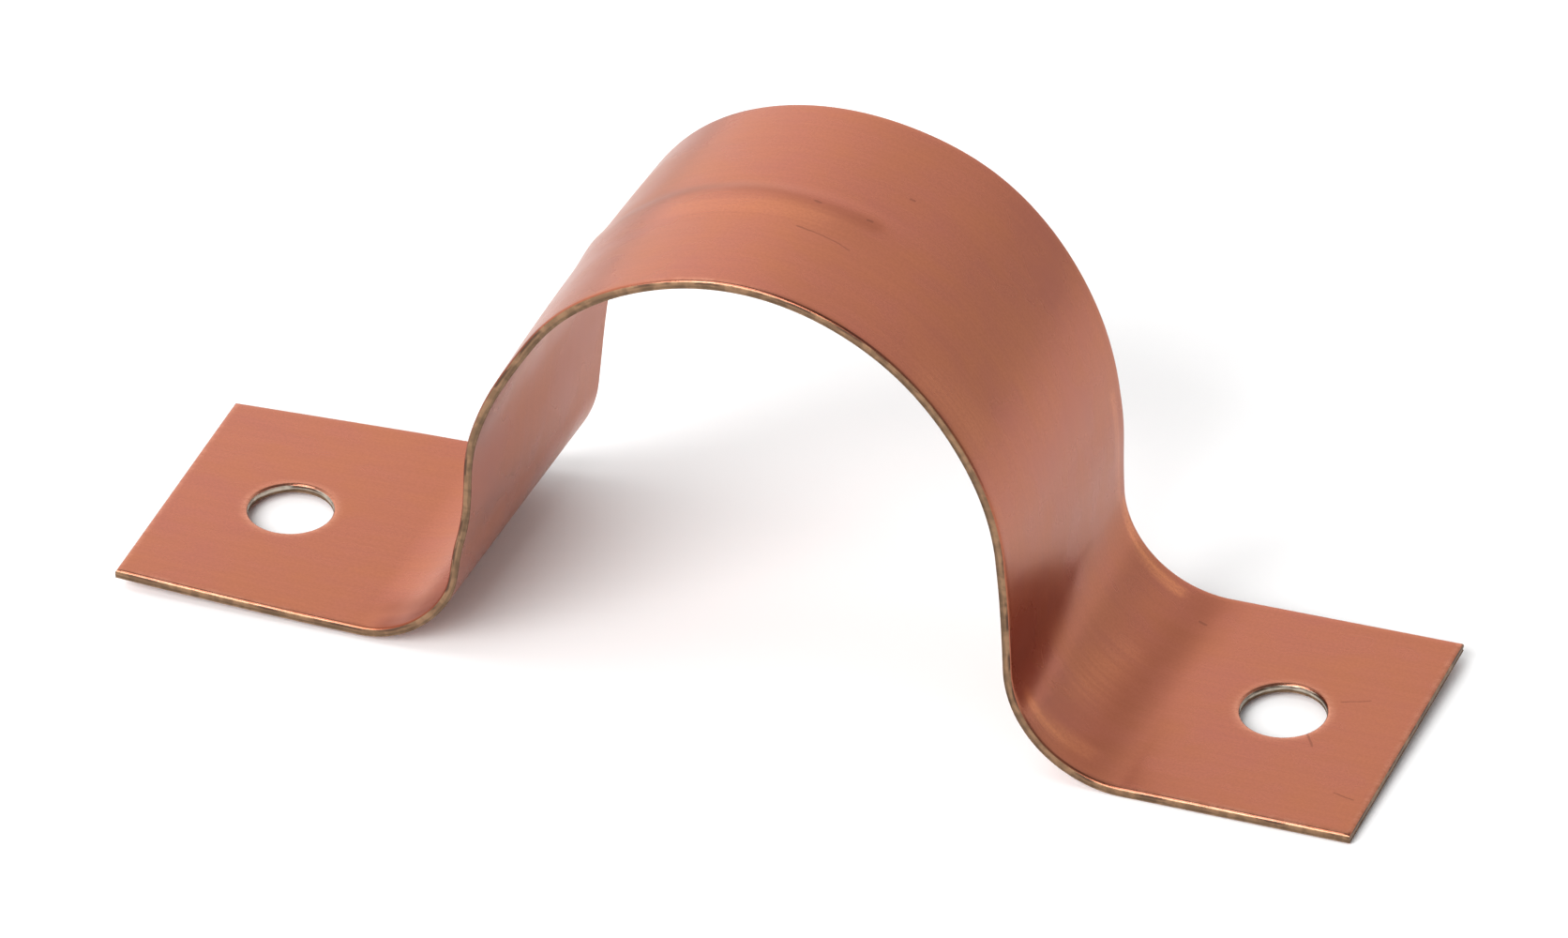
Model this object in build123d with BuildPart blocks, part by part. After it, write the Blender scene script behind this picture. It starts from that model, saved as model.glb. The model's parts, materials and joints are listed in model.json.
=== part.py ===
"""Pipe clip: one strip of copper-plated sheet steel, arched over a pipe, with a screw foot at each end.

The pipe runs along Y, the strip runs along X, and the feet stand on the plane Z = 0.
"""
import os
from math import cos, radians, sin

from build123d import *

# Driving dimensions, in millimetres and degrees
PIPE_DIAMETER = 28.0  # outside of the pipe, which fills the arch
SHEET = 0.5  # thickness of the strip
STRIP_WIDTH = 17.7
LEG_SPLAY = 4.0  # lean of each leg out to its foot, which the screws draw in
LEG_LENGTH = 7.2  # straight run between the arch and each lower bend
BEND_RADIUS = 6.0  # upper face, where a leg turns out into its foot
FOOT_LENGTH = 13.1  # flat run from the end of the bend to the tip
HOLE_DIAMETER = 4.5  # one screw hole in the middle of each foot
EDGE_ROLL = 0.12  # rounding that the blanking die leaves along the outer face

# Places that follow from them
lean_out, lean_down = sin(radians(LEG_SPLAY)), cos(radians(LEG_SPLAY))
arch_radius = PIPE_DIAMETER / 2 + SHEET
bend_height = SHEET + BEND_RADIUS
axis_height = bend_height + LEG_LENGTH * lean_down - (arch_radius + BEND_RADIUS) * lean_out
foot_start = (arch_radius + BEND_RADIUS) * lean_down + LEG_LENGTH * lean_out
foot_tip = foot_start + FOOT_LENGTH
hole_spacing = 2 * foot_tip - FOOT_LENGTH

with BuildPart() as pipe_clip:
    # The strip's section: its outer face from tip to tip, thickened inwards
    with BuildSketch(Plane.XZ):
        with BuildLine():
            arch = CenterArc((0, axis_height), arch_radius, LEG_SPLAY, 180 - 2 * LEG_SPLAY)
            leg = PolarLine(arch @ 0, LEG_LENGTH, LEG_SPLAY - 90)
            bend = CenterArc((foot_start, bend_height), BEND_RADIUS, 180 + LEG_SPLAY, 90 - LEG_SPLAY)
            foot = Line(bend @ 1, (foot_tip, SHEET))
            mirror([leg, bend, foot], about=Plane.YZ)
            offset(amount=SHEET, side=Side.LEFT)
        make_face()
    extrude(amount=STRIP_WIDTH / 2, both=True)

    with GridLocations(hole_spacing, 0, 2, 1):
        Hole(HOLE_DIAMETER / 2)

    # Die roll: the two edges of the crown carry the rounding on along the whole strip
    crown_edges = pipe_clip.edges().group_by(Axis.Z)[-1]
    upper_edges = pipe_clip.edges().filter_by_position(Axis.Z, SHEET, SHEET)
    hole_rims = upper_edges.filter_by(GeomType.CIRCLE)
    end_edges = upper_edges.filter_by(Axis.Y).group_by(Axis.X)
    fillet(crown_edges + hole_rims + end_edges[0] + end_edges[-1], radius=EDGE_ROLL)

pipe_clip.part.label = "pipe_clip"

os.makedirs("parts", exist_ok=True)
export_step(pipe_clip.part, "parts/pipe_clip.step")
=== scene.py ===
"""Pipe clip: the folded strip as it stands in the photograph, its copper finish and a plain studio.

The strip is drawn flat, as it was blanked, and then folded along the profile that the CAD frame gives.
u runs along the flat strip from the crown, y runs across it, and depth runs down through the sheet.
Lengths are millimetres until the mesh is made, because the details are fractions of one.
"""
import json
import math

import bmesh
import bpy
import numpy as np
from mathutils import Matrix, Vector


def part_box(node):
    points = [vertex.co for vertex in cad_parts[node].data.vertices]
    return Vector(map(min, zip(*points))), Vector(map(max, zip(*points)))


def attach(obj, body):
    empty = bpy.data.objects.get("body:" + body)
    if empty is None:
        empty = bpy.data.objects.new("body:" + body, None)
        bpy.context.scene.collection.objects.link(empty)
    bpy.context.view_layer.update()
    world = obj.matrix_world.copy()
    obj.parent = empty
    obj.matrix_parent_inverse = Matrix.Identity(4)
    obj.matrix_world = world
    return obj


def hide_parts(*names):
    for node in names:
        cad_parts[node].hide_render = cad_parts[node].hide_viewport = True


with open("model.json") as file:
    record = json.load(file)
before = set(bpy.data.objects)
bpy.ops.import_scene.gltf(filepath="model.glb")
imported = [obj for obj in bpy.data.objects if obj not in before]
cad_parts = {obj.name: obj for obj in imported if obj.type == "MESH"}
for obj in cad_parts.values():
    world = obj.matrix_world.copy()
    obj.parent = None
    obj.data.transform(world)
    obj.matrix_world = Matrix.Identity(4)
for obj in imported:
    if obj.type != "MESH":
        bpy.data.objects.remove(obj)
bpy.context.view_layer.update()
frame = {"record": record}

MM = 0.001  # one millimetre in metres

# Sizes that the frame gives
clip_low, clip_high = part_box("pipe_clip")
mounts = {mount["name"]: mount for mount in frame["record"]["mounts"]}
STRIP_WIDTH = (clip_high[1] - clip_low[1]) / MM
SHEET = mounts["screw_holes"]["pos_m"][2] / MM
ARCH_RADIUS = mounts["pipe_saddle"]["dims"]["r_mm"] + SHEET
AXIS_HEIGHT = clip_high[2] / MM - ARCH_RADIUS
FOOT_TIP = clip_high[0] / MM
HOLE_RADIUS = mounts["screw_holes"]["dims"]["hole_r_mm"]
HOLE_X = mounts["screw_holes"]["dims"]["spacing_x_mm"] / 2
FOOT_LENGTH = 2 * (FOOT_TIP - HOLE_X)
FOOT_START = FOOT_TIP - FOOT_LENGTH

# The legs lean out from the arch. The rest of the width and height goes to the lower bends and the legs
LEG_SPLAY = math.radians(4.0)
LEAN_OUT, LEAN_DOWN = math.sin(LEG_SPLAY), math.cos(LEG_SPLAY)
LEG_TOP_X = ARCH_RADIUS * LEAN_DOWN
LEG_TOP_Z = AXIS_HEIGHT + ARCH_RADIUS * LEAN_OUT
WIDTH_LEFT = FOOT_START - LEG_TOP_X
HEIGHT_LEFT = LEG_TOP_Z - SHEET
BEND_RADIUS = (WIDTH_LEFT * LEAN_DOWN - HEIGHT_LEFT * LEAN_OUT) / (1 - LEAN_OUT)
LEG_LENGTH = (HEIGHT_LEFT - BEND_RADIUS * (1 - LEAN_OUT)) / LEAN_DOWN

# Where each stretch of the flat strip ends, measured from the crown
ARCH_END = ARCH_RADIUS * (math.pi / 2 - LEG_SPLAY)
LEG_END = ARCH_END + LEG_LENGTH
BEND_END = LEG_END + BEND_RADIUS * (math.pi / 2 - LEG_SPLAY)
STRIP_END = BEND_END + FOOT_LENGTH
HOLE_U = STRIP_END - FOOT_LENGTH / 2

# Edges that the blanking tools left
EDGE_ROLL = 0.18  # rounding of the outer face's edges
PLATED_ROLL = 0.6  # share of that rounding which is still plated
BURNISH_DEPTH = 0.31  # smooth upper part of a cut edge, the rest is torn
BURNISH_WAVER = 0.06
TEAR_SET_BACK = 0.025  # how far the torn part stands in
TEAR_WAVER = 0.02
BURR = 0.03  # small rounding at the inner face
WAVER_LENGTHS = (3.1, 1.37, 0.83)  # millimetres along the cut

# Handling has twisted the clip: it stands on the right foot's front edge and the left foot's back corner
FOOT_RISE = 0.37  # from the drawn height to the mean height of the twisted feet
ARCH_DROP = 0.19  # of the arch below its drawn height
ARCH_SHIFT = 0.51  # of the arch to the right
LEFT_FOOT_TWIST = {"tip": (0.35, -0.37), "bend": (-0.25, 0.26)}  # height of its front and back edges
RIGHT_FOOT_TWIST = {"tip": (-0.3, 0.23), "bend": (-0.32, 0.08)}
TWIST_REACH = 0.4  # of a foot's length, over which its slope runs on into the bend
TWIST_START = 0.3  # share of the bend, from the leg, at which the twist sets in
LEFT_TIP_SKEW = 0.2  # how far the cut end runs in at its front corner
RIGHT_TIP_SKEW = 0.28

# Where the front and back edges stand off the drawn profile: middle, spread and height of each swelling
FRONT_SWELLS = (
    (-29.5, 7.0, 0.36),  # left leg and bend
    (-29.4, 1.4, 0.33),  # foot of the left leg
    (-22.3, 1.6, 0.2),  # top of the left leg
    (-15.3, 2.4, -0.3),  # flattened left shoulder
    (0.5, 4.0, 0.15),  # crown
    (14.5, 3.5, -0.17),  # right shoulder
    (24.0, 2.5, 0.09),  # right leg
    (33.2, 2.2, -0.17),  # right bend
)
BACK_SWELLS = (
    (-28.0, 4.5, -0.37),  # left leg, pressed in
    (-16.5, 4.5, -0.92),  # left shoulder, pressed in
    (8.0, 2.6, 0.13),  # crown
    (16.0, 2.5, -0.08),  # right shoulder
    (24.0, 2.2, 0.25),  # right leg
)

# The middle of the strip stands above the line between its edges on the pressed-in shoulder
MIDDLE_SWELLS = ((-16.0, 4.5, 0.24),)

# A crease runs along the middle of the crown and out to the back on the left shoulder
CREASE_Y = 0.1
CREASE_TURN = -11.5  # where it leaves the middle of the strip
CREASE_CURVE = 0.24
CREASE_RIDGE = ((-15.5, 2.6, 0.13), (-4.0, 5.0, 0.08))
RIDGE_RUN = 3.0  # slope up to the crease from the front
RIDGE_FALL = 1.1  # steeper slope behind it
FALL_SPREAD = 0.35  # widening of that slope for each millimetre past the turn

# The middle of each hole. The right one was punched off the middle of its foot
LEFT_HOLE = (-HOLE_U, 0.0)
RIGHT_HOLE = (HOLE_U - 0.4, 0.3)

# Worn places, smudges, painted highlights and painted shade of the outer face, each a stroke from (u, y)
# to (u, y) with its half width and its strength
WEAR_AND_HIGHLIGHT_STROKES = (
    ((-6.0, -1.2), (1.5, -1.3), 1.0, 0.28),  # painted highlight in front of the crease
    ((11.5, -7.6), (14.5, -7.0), 1.4, 0.3),  # front of the right shoulder
    ((22.0, 7.6), (29.0, 7.9), 0.3, 0.5),  # right leg, drawn over the die
    ((29.5, 8.4), (35.3, 7.8), 0.35, 1.0),  # right bend, back
    ((31.3, -7.7), (35.4, -7.1), 0.5, 0.9),  # right bend, front
    ((33.6, -3.4), (34.8, 1.4), 1.1, 0.3),  # right bend, middle
)
# Darker marks: painted shade along the crease, darkening where the right bend meets its foot, and smudges
SMUDGE_AND_SHADE_STROKES = (
    ((-10.8, 0.5), (-4.6, 0.45), 0.6, 0.5),  # painted shade along the crease
    ((-4.6, 0.45), (1.4, 0.0), 0.55, 0.5),
    ((1.4, 0.0), (4.4, -0.25), 0.6, 0.45),
    ((37.2, 7.6), (36.1, 2.0), 1.7, 0.5),  # where the right bend meets its foot
    ((36.1, 2.0), (35.6, -7.4), 1.6, 0.55),
    ((-36.2, -8.3), (-32.0, -8.7), 0.9, 1.2),  # front corner of the left bend
    ((-36.4, -6.8), (-33.0, -7.7), 1.1, 0.7),
    ((-30.0, -8.8), (-12.5, -8.8), 0.3, 1.0),  # front edge of the left leg and shoulder
)

# Wear and painted highlight of the front edge and the tips, and of the ring that the punch rubbed round
# each hole
RIM_WEAR_AND_HIGHLIGHT = ((-46.0, 5.0, 0.75), (-1.8, 2.2, 0.9), (45.0, 5.0, 1.0))  # swellings along u
RIM_FADE = (0.1, 0.45)  # distances from the rim between which its wear fades
RIM_PATCHES = (-0.6, 0.4)  # values of the waver between which it grows from the least to all
RIM_LEAST = 0.4
HOLE_RING = (0.1, 0.28, 0.6)  # distance from the hole, half width and strength

# Scratches and specks, each from (u, y) to (u, y) with its half width
SCRATCHES = (
    ((1.0, -2.5), (1.9, -2.55), 0.09),
    ((1.9, -2.55), (4.0, -2.9), 0.06),
    ((46.7, 1.9), (48.1, 2.5), 0.06),
    ((45.8, -1.0), (46.5, -2.2), 0.08),
    ((48.9, -5.6), (50.2, -5.9), 0.07),
    ((1.1, 0.0), (1.4, -0.05), 0.13),
    ((4.0, 0.0), (4.2, 0.0), 0.12),
    ((5.3, 3.1), (5.45, 3.1), 0.12),
    ((37.1, 6.2), (37.4, 6.1), 0.13),
)
SCRATCH_WANDER = 0.3  # millimetres that a scratch strays from its straight line
WANDERS_PER_MM = 0.9
SCRATCH_CORE = 0.3  # share of its half width that is scratched all through

# Mesh density
HOLE_PATCH = 3.6  # half the side of the square of mesh round a hole
PATCH_CELLS = 28
PATCH_RINGS = 10
RING_CROWDING = 0.8  # at 1 the rings are even, and below it they crowd in to the hole
ROUNDING_ERROR = 0.0002  # of a place on the grid
EDGE_CELLS = 18  # from a hole's patch out to a long edge
FOOT_CELLS = 12  # from a hole's patch to the tip, and to the bend
BEND_CELLS = 36
LEG_CELLS = 28
ARCH_CELLS = 90  # from the crown to a leg
ROLL_STEPS = 5
SHARP_ANGLE = math.radians(40)  # between faces, above which the shading breaks


def blend(value, start, end):
    """Smooth step from 0 at the start to 1 at the end."""
    share = np.clip((value - start) / (end - start), 0.0, 1.0)
    return share * share * (3 - 2 * share)


def outer_line(u):
    """Points and outward normals of the outer face in the XZ plane, at places along the strip."""
    run = np.abs(u)
    side = np.where(u < 0, -1.0, 1.0)
    arch = run / ARCH_RADIUS
    leg = run - ARCH_END
    bend = LEG_SPLAY + (run - LEG_END) / BEND_RADIUS
    stretch = [run <= ARCH_END, run <= LEG_END, run <= BEND_END]
    x = np.select(
        stretch,
        [ARCH_RADIUS * np.sin(arch), LEG_TOP_X + leg * LEAN_OUT, FOOT_START - BEND_RADIUS * np.cos(bend)],
        FOOT_START + run - BEND_END,
    )
    z = np.select(
        stretch,
        [
            AXIS_HEIGHT + ARCH_RADIUS * np.cos(arch),
            LEG_TOP_Z - leg * LEAN_DOWN,
            SHEET + BEND_RADIUS * (1 - np.sin(bend)),
        ],
        SHEET,
    )
    normal_x = np.select(stretch, [np.sin(arch), LEAN_DOWN, np.cos(bend)], 0.0)
    normal_z = np.select(stretch, [np.cos(arch), LEAN_OUT, np.sin(bend)], 1.0)
    return side * x, z, side * normal_x, normal_z


def swell(u, swells):
    """Sum of swellings along the strip."""
    return sum(height * np.exp(-(((u - middle) / spread) ** 2) / 2) for middle, spread, height in swells)


def behind_crease(u, y):
    """Distance of a place behind the crease, and how far it lies past the crease's turn."""
    past_turn = np.maximum(CREASE_TURN - u, 0.0)
    return y - CREASE_Y - CREASE_CURVE * past_turn**2, past_turn


def ridge(u, y):
    """Height of the crease: a long slope up from the front, and a short one down at the back."""
    behind, past_turn = behind_crease(u, y)
    rise = blend(behind, -RIDGE_RUN, 0.0)
    fall = 1 - blend(behind, 0.0, RIDGE_FALL + FALL_SPREAD * past_turn)
    return swell(u, CREASE_RIDGE) * np.where(behind < 0, rise, fall)


def stand_off(u, y):
    """Outward distance of the handled strip from its drawn profile."""
    across = 2 * y / STRIP_WIDTH
    front = swell(u, FRONT_SWELLS)
    back = swell(u, BACK_SWELLS)
    middle = swell(u, MIDDLE_SWELLS) * (1 - across**2)
    return front + (across + 1) / 2 * (back - front) + middle + ridge(u, y)


def foot_twist(u, y):
    """Rise of the twisted feet over the plane of the floor."""
    run = np.abs(u)
    along = np.clip((run - BEND_END) / FOOT_LENGTH, -TWIST_REACH, 1.0)
    across = y / STRIP_WIDTH + 0.5
    height = 0.0
    for side, twist in ((u < 0, LEFT_FOOT_TWIST), (u > 0, RIGHT_FOOT_TWIST)):
        tip = twist["tip"][0] + across * (twist["tip"][1] - twist["tip"][0])
        bend = twist["bend"][0] + across * (twist["bend"][1] - twist["bend"][0])
        height = np.where(side, bend + along * (tip - bend), height)
    start = LEG_END + TWIST_START * (BEND_END - LEG_END)
    return height * blend(run, start, BEND_END)


def folded(flat):
    """Places of the flat points once the strip is folded and handled."""
    u, y, depth = flat.T
    x, z, normal_x, normal_z = outer_line(u)
    off = stand_off(u, y) - depth
    run = np.abs(u)
    x = x + off * normal_x + ARCH_SHIFT * blend(run, HOLE_U - HOLE_PATCH, BEND_END)
    z = z + off * normal_z + foot_twist(u, y)
    z = z + FOOT_RISE - (FOOT_RISE + ARCH_DROP) * blend(run, LEG_END, ARCH_END)
    front = 0.5 - y / STRIP_WIDTH
    skew = np.where(u < 0, LEFT_TIP_SKEW, -RIGHT_TIP_SKEW) * front
    past_hole = HOLE_U + HOLE_PATCH
    x = x + skew * np.clip((run - past_hole) / (STRIP_END - past_hole), 0.0, 1.0)
    return np.column_stack((x, y, z))


def waver(place):
    """Unevenness of a cut, from about -1 to 1, at a place along it."""
    waves = [np.sin(2 * math.pi * place / length + length) for length in WAVER_LENGTHS]
    return sum(waves) / len(waves)


def edge_profile(place):
    """Steps down a cut edge from the outer face to the inner one, each as (inset from the cut, depth)."""
    steps = []
    for step in range(1, ROLL_STEPS + 1):
        turn = math.pi / 2 * step / ROLL_STEPS
        steps.append((EDGE_ROLL * (1 - math.sin(turn)), EDGE_ROLL * (1 - math.cos(turn))))
    burnished = BURNISH_DEPTH + BURNISH_WAVER * waver(place)
    torn = TEAR_SET_BACK + TEAR_WAVER * waver(place + STRIP_WIDTH)
    steps.append((0.0, burnished))
    steps.append((torn, burnished + 2 * BURR))
    steps.append((torn, SHEET - 2 * BURR))
    steps.append((0.0, SHEET - BURR))
    steps.append((BURR, SHEET))
    return steps


def stroke_mask(flat, strokes):
    """Strength of soft strokes at each flat point of the outer face."""
    u, y, depth = flat.T
    strength = np.zeros(len(flat))
    for start, end, half_width, most in strokes:
        run_u, run_y = end[0] - start[0], end[1] - start[1]
        along = ((u - start[0]) * run_u + (y - start[1]) * run_y) / (run_u**2 + run_y**2)
        along = np.clip(along, 0.0, 1.0)
        gap = np.hypot(u - start[0] - along * run_u, y - start[1] - along * run_y)
        strength = np.maximum(strength, most * np.exp(-((gap / half_width) ** 2)))
    return np.where(depth < SHEET / 2, strength, 0.0)


def rim_mask(flat):
    """Wear and painted highlight of the outer face's rims: the rounded edges in patches, and a ring round
    each hole.
    """
    u, y, depth = flat.T
    to_rim = np.minimum(STRIP_WIDTH / 2 + y, STRIP_END - np.abs(u))
    patches = RIM_LEAST + (1 - RIM_LEAST) * blend(waver(u + 2 * y), *RIM_PATCHES)
    rims = swell(u, RIM_WEAR_AND_HIGHLIGHT) * (1 - blend(to_rim, *RIM_FADE)) * patches
    off_left = np.hypot(u - LEFT_HOLE[0], y - LEFT_HOLE[1])
    off_right = np.hypot(u - RIGHT_HOLE[0], y - RIGHT_HOLE[1])
    off_hole = np.minimum(off_left, off_right) - HOLE_RADIUS
    ring_gap, ring_width, ring_strength = HOLE_RING
    rings = ring_strength * np.exp(-(((off_hole - ring_gap) / ring_width) ** 2))
    return np.where(depth < SHEET / 2, np.maximum(rims, rings), 0.0)


class FlatStrip:
    """Vertices of the flat strip as (u, y, depth), and its faces with a material number each."""

    FACE, CUT = 0, 1

    def __init__(self):
        self.points = []
        self.faces = []
        self.finish = []

    def point(self, u, y, depth):
        self.points.append((u, y, depth))
        return len(self.points) - 1

    def face(self, corners, finish):
        self.faces.append(corners)
        self.finish.append(finish)

    def band(self, loop, next_loop, finish):
        """Quads between two closed loops of as many points."""
        for k in range(len(loop)):
            after = (k + 1) % len(loop)
            self.face((loop[k], loop[after], next_loop[after], next_loop[k]), finish)


def lines_through(start, *stretches):
    """Grid lines from a start through stretches given as (end, cells)."""
    lines = [start]
    for end, cells in stretches:
        lines += list(np.linspace(lines[-1], end, cells + 1)[1:])
    return lines


def half_lines(hole_u):
    """Grid lines from the crown to one tip, with the hole's patch in its place."""
    return lines_through(
        0.0,
        (ARCH_END, ARCH_CELLS),
        (LEG_END, LEG_CELLS),
        (BEND_END, BEND_CELLS),
        (hole_u - HOLE_PATCH, FOOT_CELLS),
        (hole_u + HOLE_PATCH, PATCH_CELLS),
        (STRIP_END - EDGE_ROLL, FOOT_CELLS),
    )


def grid_lines():
    """Grid lines along and across the strip, with the index of the first line of each hole's patch."""
    left = [-u for u in reversed(half_lines(-LEFT_HOLE[0]))]
    along = left[:-1] + half_lines(RIGHT_HOLE[0])
    edge = STRIP_WIDTH / 2 - EDGE_ROLL
    stretches = (-HOLE_PATCH, EDGE_CELLS), (HOLE_PATCH, PATCH_CELLS), (edge, EDGE_CELLS)
    across = lines_through(-edge, *stretches)
    patches = [FOOT_CELLS, len(along) - 1 - FOOT_CELLS - PATCH_CELLS]
    return along, across, patches


def hole_patch(strip, grid, first, hole, depth):
    """Rings of quads from a square patch of the grid in to a hole. Returns the loop at the hole."""
    last = first + PATCH_CELLS
    low, high = EDGE_CELLS, EDGE_CELLS + PATCH_CELLS
    cells = range(PATCH_CELLS)
    square = [grid[first + k][low] for k in cells]
    square += [grid[last][low + k] for k in cells]
    square += [grid[last - k][high] for k in cells]
    square += [grid[first][high - k] for k in cells]
    rim = HOLE_RADIUS + EDGE_ROLL
    outer = square
    for ring in range(1, PATCH_RINGS + 1):
        share = 1 - (ring / PATCH_RINGS) ** RING_CROWDING
        loop = []
        for corner in square:
            u, y, _ = strip.points[corner]
            angle = math.atan2(y - hole[1], u - hole[0])
            rim_u, rim_y = hole[0] + rim * math.cos(angle), hole[1] + rim * math.sin(angle)
            loop.append(strip.point(rim_u + share * (u - rim_u), rim_y + share * (y - rim_y), depth))
        strip.band(outer, loop, strip.FACE)
        outer = loop
    return outer


def strip_skin(strip, along, across, patches, depth):
    """One face of the flat strip with its holes. Returns its outer loop and the loop of each hole."""
    grid = [[strip.point(u, y, depth) for y in across] for u in along]
    rows, columns = len(along) - 1, len(across) - 1
    in_patch_row = [any(first <= i < first + PATCH_CELLS for first in patches) for i in range(rows)]
    for i in range(rows):
        for j in range(columns):
            if in_patch_row[i] and EDGE_CELLS <= j < EDGE_CELLS + PATCH_CELLS:
                continue
            strip.face((grid[i][j], grid[i + 1][j], grid[i + 1][j + 1], grid[i][j + 1]), strip.FACE)
    outline = [grid[i][0] for i in range(rows)]
    outline += [grid[rows][j] for j in range(columns)]
    outline += [grid[i][columns] for i in range(rows, 0, -1)]
    outline += [grid[0][j] for j in range(columns, 0, -1)]
    middles = (LEFT_HOLE, RIGHT_HOLE)
    holes = [hole_patch(strip, grid, first, hole, depth) for first, hole in zip(patches, middles)]
    return outline, holes


def cut_edge(strip, top, bottom, moved):
    """A cut edge between the loops of the two faces.

    moved gives the place of one of the top loop's points at an inset from the cut.
    """
    starts = [strip.points[corner][:2] for corner in top]
    profiles = [edge_profile(u + y) for u, y in starts]
    loop = top
    for step in range(len(profiles[0])):
        ring = []
        for start, profile in zip(starts, profiles):
            inset, depth = profile[step]
            ring.append(strip.point(*moved(*start, inset), depth))
        plated = profiles[0][step][1] <= EDGE_ROLL * PLATED_ROLL
        strip.band(loop, ring, strip.FACE if plated else strip.CUT)
        loop = ring
    strip.band(loop, bottom, strip.FACE)


def outline_point(u, y, inset):
    """A point of the strip's outline, moved out from the edge of the face."""
    out = EDGE_ROLL - inset
    margin = EDGE_ROLL + ROUNDING_ERROR
    if abs(u) > STRIP_END - margin:
        u += math.copysign(out, u)
    if abs(y) > STRIP_WIDTH / 2 - margin:
        y += math.copysign(out, y)
    return u, y


def flat_strip():
    """The blank: both faces, the cut outline and the cut holes."""
    strip = FlatStrip()
    along, across, patches = grid_lines()
    top_outline, top_holes = strip_skin(strip, along, across, patches, 0.0)
    bottom_outline, bottom_holes = strip_skin(strip, along, across, patches, SHEET)
    cut_edge(strip, top_outline, bottom_outline, outline_point)
    for top, bottom, hole in zip(top_holes, bottom_holes, (LEFT_HOLE, RIGHT_HOLE)):

        def hole_point(u, y, inset):
            angle = math.atan2(y - hole[1], u - hole[0])
            radius = HOLE_RADIUS + inset
            return hole[0] + radius * math.cos(angle), hole[1] + radius * math.sin(angle)

        cut_edge(strip, top, bottom, hole_point)
    return strip


def make_strip():
    """The clip's mesh, keeping for the finish its flat coordinates, its worn places and smudges, and its
    painted highlights and shade.
    """
    strip = flat_strip()
    flat = np.array(strip.points)
    mesh = bpy.data.meshes.new("clip_strip")
    mesh.from_pydata((folded(flat) * MM).tolist(), [], strip.faces)
    mesh.polygons.foreach_set("material_index", strip.finish)
    kept = mesh.attributes.new("flat", "FLOAT_VECTOR", "POINT")
    kept.data.foreach_set("vector", flat.ravel())
    masks = {
        "rubbed_and_highlit": stroke_mask(flat, WEAR_AND_HIGHLIGHT_STROKES),
        "rims": rim_mask(flat),
        "smudged_and_shaded": stroke_mask(flat, SMUDGE_AND_SHADE_STROKES),
    }
    for name, mask in masks.items():
        mesh.attributes.new(name, "FLOAT", "POINT").data.foreach_set("value", mask)
    shape = bmesh.new()
    shape.from_mesh(mesh)
    bmesh.ops.recalc_face_normals(shape, faces=shape.faces)
    shape.to_mesh(mesh)
    shape.free()
    mesh.polygons.foreach_set("use_smooth", [True] * len(mesh.polygons))
    mesh.set_sharp_from_angle(angle=SHARP_ANGLE)
    piece = bpy.data.objects.new("clip_strip", mesh)
    bpy.context.scene.collection.objects.link(piece)
    return piece


# Finish: linear colours
PINK_COPPER = (0.34, 0.111, 0.073, 1.0)
ORANGE_COPPER = (0.375, 0.127, 0.066, 1.0)
# colour of worn places and of the painted highlight in front of the crease
RUBBED_AND_HIGHLIT_COPPER = (0.56, 0.21, 0.1, 1.0)
# colour of the worn rims, with their painted highlight
RIM_COPPER = (0.52, 0.23, 0.15, 1.0)
# colour of the smudges and of the painted shade along the crease
SMUDGED_AND_SHADED_COPPER = (0.23, 0.062, 0.033, 1.0)
SCRATCHED_COPPER = (0.15, 0.05, 0.03, 1.0)
COPPER_EDGE = (1.0, 0.91, 0.88, 1.0)  # tint of what it reflects at a glancing angle
BURNISHED_STEEL = (0.235, 0.135, 0.075, 1.0)
TORN_STEEL = (0.165, 0.1, 0.058, 1.0)
STAINED_STEEL = (0.085, 0.045, 0.028, 1.0)
HOLE_STEEL = (0.45, 0.4, 0.33, 1.0)

# Sizes of the finish's lumps along u, across it and through the sheet, in millimetres
CLOUDS = (9.0, 6.0, 6.0)
PATCHES = (2.6, 1.7, 1.7)
ROLLING_LINES = (14.0, 0.28, 0.28)
GRAIN = (0.16, 0.12, 0.12)
SHEAR_LINES = (0.5, 0.5, 0.9)
SHEAR_STAINS = (1.6, 1.6, 0.4)
LUMP_SPAN = (0.32, 0.68)  # values of the noise that become 0 and 1
NOISE_DETAIL = 2.0  # octaves
NOISE_MEAN = 0.5

# Ramps from a mask to a strength, a tone or a roughness, each as (start, end, low, high)
WEAR_AND_HIGHLIGHT_LINES = (0.0, 0.7, 0.6, 1.0)
WEAR_AND_HIGHLIGHT_GRAIN = (0.0, 0.8, 0.65, 1.0)
SMUDGE_AND_SHADE_PATCHES = (0.0, 1.0, 0.85, 1.0)
ROLLING_TONE = (0.0, 1.0, 0.985, 1.015)
GRAIN_TONE = (0.0, 1.0, 0.965, 1.035)
COPPER_ROUGHNESS = (0.0, 1.0, 0.25, 0.31)
SHEAR_TONE = (0.0, 1.0, 0.8, 1.15)
STEEL_ROUGHNESS = (0.0, 1.0, 0.42, 0.62)

# Shares of the finish
CLOUD_SHARE = 0.6  # of the hue, and the patches have the rest
SCRATCH_SHARE = 0.5
SMUDGE_AND_SHADE_ROUGHENS = 0.05
WEAR_AND_HIGHLIGHT_SMOOTHS = 0.05
STEEL_METALLIC = 0.8
STAINED_DEPTHS = (1.4 * EDGE_ROLL, 0.8 * EDGE_ROLL)  # where the stained line begins, and is full
STAINED_LENGTHS = (0.4, 0.9)  # values of the stains' mask where it begins, and is full

# Relief of the finish
RELIEF = 0.01  # millimetres for a height of 1
ROLLING_HEIGHT, GRAIN_HEIGHT, SCRATCH_DEPTH = 0.1, 0.15, 0.5
COPPER_RELIEF, STEEL_RELIEF = 0.2, 0.5  # strength


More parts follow.
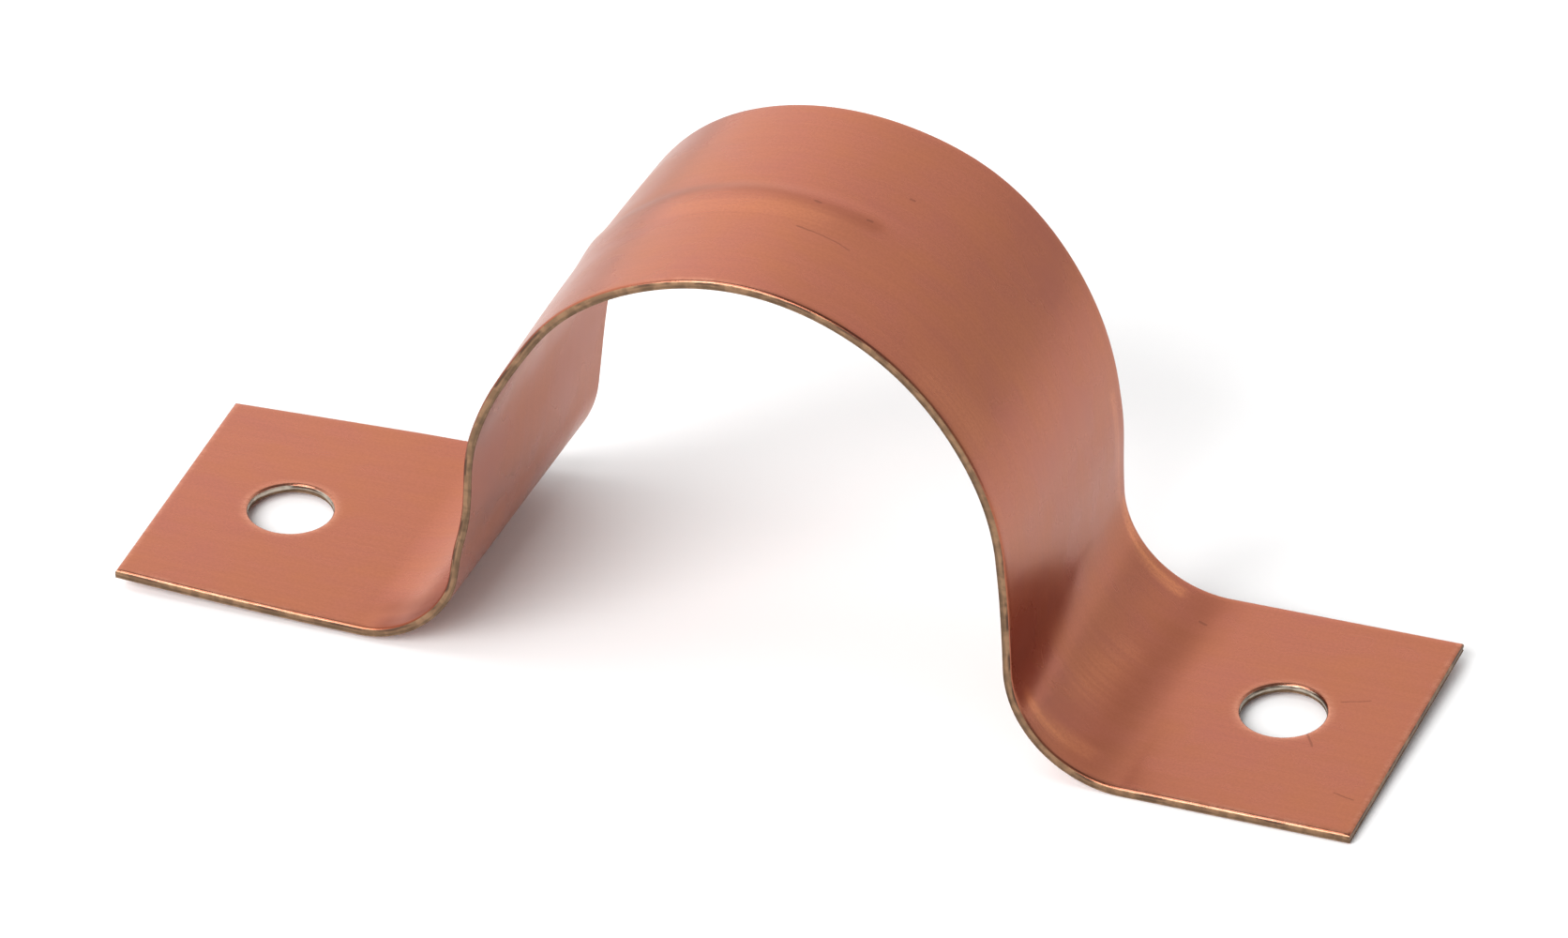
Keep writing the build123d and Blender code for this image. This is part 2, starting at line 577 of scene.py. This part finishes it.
class Paint:
    """The nodes of one material. Places are flat coordinates, and masks run from 0 to about 1."""

    def __init__(self, name):
        self.material = bpy.data.materials.new(name)
        self.material.use_nodes = True
        self.nodes = self.material.node_tree.nodes
        self.links = self.material.node_tree.links
        self.shader = self.nodes["Principled BSDF"]
        self.flat = self.node("ShaderNodeAttribute", {}, attribute_name="flat").outputs["Vector"]

    def put(self, value, socket):
        if isinstance(value, bpy.types.NodeSocket):
            self.links.new(value, socket)
        else:
            socket.default_value = value

    def node(self, kind, values, **settings):
        node = self.nodes.new(kind)
        for name, setting in settings.items():
            setattr(node, name, setting)
        for name, value in values.items():
            self.put(value, node.inputs[name])
        return node

    def set(self, name, value):
        self.put(value, self.shader.inputs[name])

    def mask(self, name):
        """A mask that the mesh keeps."""
        return self.node("ShaderNodeAttribute", {}, attribute_name=name).outputs["Fac"]

    def math(self, operation, first, second=0.0):
        return self.node("ShaderNodeMath", {0: first, 1: second}, operation=operation).outputs["Value"]

    def times(self, first, second):
        return self.math("MULTIPLY", first, second)

    def vector(self, operation, first, second):
        return self.node("ShaderNodeVectorMath", {0: first, 1: second}, operation=operation)

    def axis(self, name):
        return self.node("ShaderNodeSeparateXYZ", {"Vector": self.flat}).outputs[name]

    def ramp(self, value, start, end, low=0.0, high=1.0):
        sockets = {"Value": value, "From Min": start, "From Max": end, "To Min": low, "To Max": high}
        return self.node("ShaderNodeMapRange", sockets, interpolation_type="SMOOTHSTEP").outputs["Result"]

    def clamped(self, value):
        return self.node("ShaderNodeClamp", {"Value": value}).outputs["Result"]

    def noise(self, place, scale):
        sockets = {"Vector": place, "Scale": scale, "Detail": NOISE_DETAIL}
        return self.node("ShaderNodeTexNoise", sockets)

    def lumps(self, sizes):
        """Noise with lumps of these sizes, as a mask."""
        place = self.vector("MULTIPLY", self.flat, [1 / size for size in sizes]).outputs["Vector"]
        noise = self.noise(place, 1.0)
        return self.ramp(noise.outputs[0], *LUMP_SPAN)

    def mix(self, share, first, second):
        return self.node("ShaderNodeMix", {0: share, 6: first, 7: second}, data_type="RGBA").outputs[2]

    def dim(self, colour, share):
        """A colour times a share."""
        return self.vector("MULTIPLY", colour, share).outputs["Vector"]

    def bump(self, height, strength):
        """Fine relief of the surface."""
        sockets = {"Height": height, "Strength": strength, "Distance": RELIEF * MM}
        self.set("Normal", self.node("ShaderNodeBump", sockets).outputs["Normal"])


def scratch_mask(paint):
    """Thin wandering lines and specks on the outer face."""
    noise = paint.noise(paint.flat, WANDERS_PER_MM)
    stray = paint.vector("SUBTRACT", noise.outputs["Color"], [NOISE_MEAN] * 3).outputs["Vector"]
    stray = paint.vector("MULTIPLY", stray, (SCRATCH_WANDER, SCRATCH_WANDER, 0.0)).outputs["Vector"]
    place = paint.vector("ADD", paint.flat, stray).outputs["Vector"]
    scratched = 0.0
    for start, end, half_width in SCRATCHES:
        run = Vector((end[0] - start[0], end[1] - start[1], 0.0))
        off_start = paint.vector("SUBTRACT", place, (*start, 0.0)).outputs["Vector"]
        along = paint.vector("DOT_PRODUCT", off_start, run / run.length_squared).outputs["Value"]
        along = paint.clamped(along)
        nearest = paint.vector("MULTIPLY", run, along).outputs["Vector"]
        gap = paint.vector("DISTANCE", off_start, nearest).outputs["Value"]
        line = paint.ramp(gap, half_width, SCRATCH_CORE * half_width)
        scratched = paint.math("MAXIMUM", line, scratched)
    return scratched


def copper_plate():
    """Satin copper, clouded in hue and lined along the strip by rolling, with its worn places, smudges,
    painted highlights and painted shade.
    """
    paint = Paint("copper_plate")
    rolling = paint.lumps(ROLLING_LINES)
    grain = paint.lumps(GRAIN)
    patches = paint.lumps(PATCHES)
    broken = paint.times(paint.ramp(rolling, *WEAR_AND_HIGHLIGHT_LINES), paint.ramp(grain, *WEAR_AND_HIGHLIGHT_GRAIN))
    # worn places, and a painted highlight in front of the crease
    rubbed_and_highlit = paint.times(paint.mask("rubbed_and_highlit"), broken)
    # worn rims, with their painted highlight
    rims = paint.times(paint.mask("rims"), broken)
    # smudges, and painted shade along the crease
    smudged_and_shaded = paint.times(paint.mask("smudged_and_shaded"), paint.ramp(patches, *SMUDGE_AND_SHADE_PATCHES))
    scratched = scratch_mask(paint)

    clouds = paint.times(paint.lumps(CLOUDS), CLOUD_SHARE)
    hue = paint.math("ADD", clouds, paint.times(patches, 1 - CLOUD_SHARE))
    colour = paint.mix(hue, PINK_COPPER, ORANGE_COPPER)
    colour = paint.dim(colour, paint.ramp(rolling, *ROLLING_TONE))
    colour = paint.dim(colour, paint.ramp(grain, *GRAIN_TONE))
    colour = paint.mix(rubbed_and_highlit, colour, RUBBED_AND_HIGHLIT_COPPER)
    colour = paint.mix(rims, colour, RIM_COPPER)
    colour = paint.mix(smudged_and_shaded, colour, SMUDGED_AND_SHADED_COPPER)
    colour = paint.mix(paint.times(scratched, SCRATCH_SHARE), colour, SCRATCHED_COPPER)
    paint.set("Base Color", colour)

    roughness = paint.ramp(hue, *COPPER_ROUGHNESS)
    roughness = paint.math("ADD", roughness, paint.times(smudged_and_shaded, SMUDGE_AND_SHADE_ROUGHENS))
    worn_and_highlit = paint.math("MAXIMUM", rubbed_and_highlit, rims)
    paint.set("Roughness", paint.math("SUBTRACT", roughness, paint.times(worn_and_highlit, WEAR_AND_HIGHLIGHT_SMOOTHS)))
    paint.set("Metallic", 1.0)
    paint.set("Specular Tint", COPPER_EDGE)

    height = paint.math("ADD", paint.times(rolling, ROLLING_HEIGHT), paint.times(grain, GRAIN_HEIGHT))
    height = paint.math("SUBTRACT", height, paint.times(scratched, SCRATCH_DEPTH))
    paint.bump(height, COPPER_RELIEF)
    return paint.material


def sheared_steel():
    """Bare steel of a cut: a stained line under the plate, a burnished band and a torn one."""
    paint = Paint("sheared_steel")
    depth = paint.axis("Z")
    stains = paint.lumps(SHEAR_STAINS)
    lines = paint.lumps(SHEAR_LINES)
    off_sides = paint.math("LESS_THAN", paint.math("ABSOLUTE", paint.axis("Y")), HOLE_PATCH)
    off_tips = paint.math("LESS_THAN", paint.math("ABSOLUTE", paint.axis("X")), HOLE_U + HOLE_PATCH)
    in_hole = paint.times(off_sides, off_tips)

    wavering_depth = paint.math("ADD", depth, paint.times(stains, 2 * BURNISH_WAVER))
    torn = paint.ramp(wavering_depth, BURNISH_DEPTH, BURNISH_DEPTH + 2 * BURNISH_WAVER)
    colour = paint.mix(in_hole, BURNISHED_STEEL, HOLE_STEEL)
    colour = paint.mix(torn, colour, TORN_STEEL)
    colour = paint.dim(colour, paint.ramp(lines, *SHEAR_TONE))
    stained = paint.times(paint.ramp(depth, *STAINED_DEPTHS), paint.ramp(stains, *STAINED_LENGTHS))
    colour = paint.mix(stained, colour, STAINED_STEEL)
    paint.set("Base Color", colour)

    paint.set("Metallic", STEEL_METALLIC)
    paint.set("Roughness", paint.ramp(torn, *STEEL_ROUGHNESS))
    paint.bump(paint.math("ADD", lines, torn), STEEL_RELIEF)
    return paint.material


# Studio: a pale floor in a white room
FLOOR_SIDE = 6.0  # metres
FLOOR_WHITE = 0.95
FLOOR_ROUGHNESS = 0.9
BRIGHT_SIDE, DIM_SIDE = 1.74, 0.35  # radiance of the room
DIM_BEARING = 105  # degrees from +Y, positive to +X
DIM_STRETCH = (-0.75, 1.35)  # parts along that bearing of the directions between which it dims
OVERHEAD_STRETCH = (0.6, 0.88)  # upward parts of the directions between which it dims
OVERHEAD_SHARE = 0.2  # of the light, left there
FRONT_STRETCH = (-0.2, 0.5)  # frontward parts of the directions between which it dims
FRONT_SHARE = 0.5  # of the light, left there

# Soft boxes: name, bearing and elevation in degrees, width and height in metres, and radiance
SOFT_BOXES = (
    ("front", -161, 34, 1.15, 0.95, 8.0),
    ("overhead", -120, 70, 0.6, 0.6, 3.5),
)
SOFT_BOX_DISTANCE = 1.5  # metres

# Camera, at the photograph's viewing angle
PHOTO_WIDTH, PHOTO_HEIGHT = 1672, 1000  # pixels
VIEW_AZIMUTH, VIEW_ELEVATION = 19.9, 34.16  # degrees
CAMERA_DISTANCE = 1.0  # metres
PIXELS_PER_MM = 20.71  # at the clip
AIM_HEIGHT = 12.0  # millimetres up the Z axis, of the point that the next line places
AIM_PIXEL = (838.1, 461.0)
SENSOR_WIDTH = 36.0  # millimetres


def make_camera():
    """A long lens that places the clip in its frame as the photograph does."""
    azimuth, elevation = math.radians(VIEW_AZIMUTH), math.radians(VIEW_ELEVATION)
    back = Vector((
        math.sin(azimuth) * math.cos(elevation),
        -math.cos(azimuth) * math.cos(elevation),
        math.sin(elevation),
    ))
    right = Vector((math.cos(azimuth), math.sin(azimuth), 0.0))
    up = back.cross(right)
    aside = (AIM_PIXEL[0] - PHOTO_WIDTH / 2) / PIXELS_PER_MM
    above = (PHOTO_HEIGHT / 2 - AIM_PIXEL[1]) / PIXELS_PER_MM
    aim = Vector((0.0, 0.0, AIM_HEIGHT)) - aside * right - above * up
    data = bpy.data.cameras.new("camera")
    data.sensor_width = SENSOR_WIDTH
    data.lens = SENSOR_WIDTH * CAMERA_DISTANCE / (PHOTO_WIDTH / PIXELS_PER_MM * MM)
    camera = bpy.data.objects.new("camera", data)
    camera.location = aim * MM + back * CAMERA_DISTANCE
    camera.rotation_euler = (-back).to_track_quat("-Z", "Y").to_euler()
    bpy.context.scene.collection.objects.link(camera)
    bpy.context.scene.camera = camera


def make_floor():
    """A plain pale floor."""
    half = FLOOR_SIDE / 2
    corners = [(-half, -half, 0), (half, -half, 0), (half, half, 0), (-half, half, 0)]
    mesh = bpy.data.meshes.new("floor")
    mesh.from_pydata(corners, [], [(0, 1, 2, 3)])
    material = bpy.data.materials.new("floor")
    material.use_nodes = True
    shader = material.node_tree.nodes["Principled BSDF"]
    shader.inputs["Base Color"].default_value = (FLOOR_WHITE, FLOOR_WHITE, FLOOR_WHITE, 1.0)
    shader.inputs["Roughness"].default_value = FLOOR_ROUGHNESS
    mesh.materials.append(material)
    floor = bpy.data.objects.new("floor", mesh)
    bpy.context.scene.collection.objects.link(floor)


def towards(bearing, elevation):
    """Direction at a bearing from +Y, positive to +X, and an elevation, both in degrees."""
    turn, rise = math.radians(bearing), math.radians(elevation)
    return Vector((math.sin(turn) * math.cos(rise), math.cos(turn) * math.cos(rise), math.sin(rise)))


def soft_box(name, bearing, elevation, width, height, radiance):
    """A rectangular soft box that faces the clip."""
    data = bpy.data.lights.new(name, "AREA")
    data.shape = "RECTANGLE"
    data.size, data.size_y = width, height
    data.energy = radiance * math.pi * width * height
    light = bpy.data.objects.new(name, data)
    light.location = towards(bearing, elevation) * SOFT_BOX_DISTANCE
    light.rotation_euler = (-light.location).to_track_quat("-Z", "Y").to_euler()
    bpy.context.scene.collection.objects.link(light)


def make_sky():
    """A white room that darkens from the left to the right, overhead and to the front."""
    world = bpy.data.worlds.new("studio")
    world.use_nodes = True
    nodes, links = world.node_tree.nodes, world.node_tree.links
    place = nodes.new("ShaderNodeTexCoord")

    def shade(socket, start, end, low, high):
        step = nodes.new("ShaderNodeMapRange")
        step.interpolation_type = "SMOOTHSTEP"
        for name, value in zip(("From Min", "From Max", "To Min", "To Max"), (start, end, low, high)):
            step.inputs[name].default_value = value
        links.new(socket, step.inputs["Value"])
        return step.outputs["Result"]

    def facing(direction):
        part = nodes.new("ShaderNodeVectorMath")
        part.operation = "DOT_PRODUCT"
        part.inputs[1].default_value = direction
        links.new(place.outputs["Generated"], part.inputs[0])
        return part.outputs["Value"]

    def times(first, second):
        product = nodes.new("ShaderNodeMath")
        product.operation = "MULTIPLY"
        links.new(first, product.inputs[0])
        links.new(second, product.inputs[1])
        return product.outputs["Value"]

    sideways = shade(facing(towards(DIM_BEARING, 0)), *DIM_STRETCH, BRIGHT_SIDE, DIM_SIDE)
    overhead = shade(facing(towards(0, 90)), *OVERHEAD_STRETCH, 1.0, OVERHEAD_SHARE)
    frontward = shade(facing(towards(180, 0)), *FRONT_STRETCH, 1.0, FRONT_SHARE)
    links.new(times(times(sideways, overhead), frontward), nodes["Background"].inputs["Strength"])
    nodes["Background"].inputs["Color"].default_value = (1.0, 1.0, 1.0, 1.0)
    bpy.context.scene.world = world


def make_light():
    """The room, its soft boxes, and colours shown as they are."""
    make_sky()
    for box in SOFT_BOXES:
        soft_box(*box)
    bpy.context.scene.view_settings.view_transform = "Standard"


clip = make_strip()
clip.data.materials.append(copper_plate())
clip.data.materials.append(sheared_steel())
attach(clip, "root")
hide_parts("pipe_clip")

make_floor()
make_light()
make_camera()
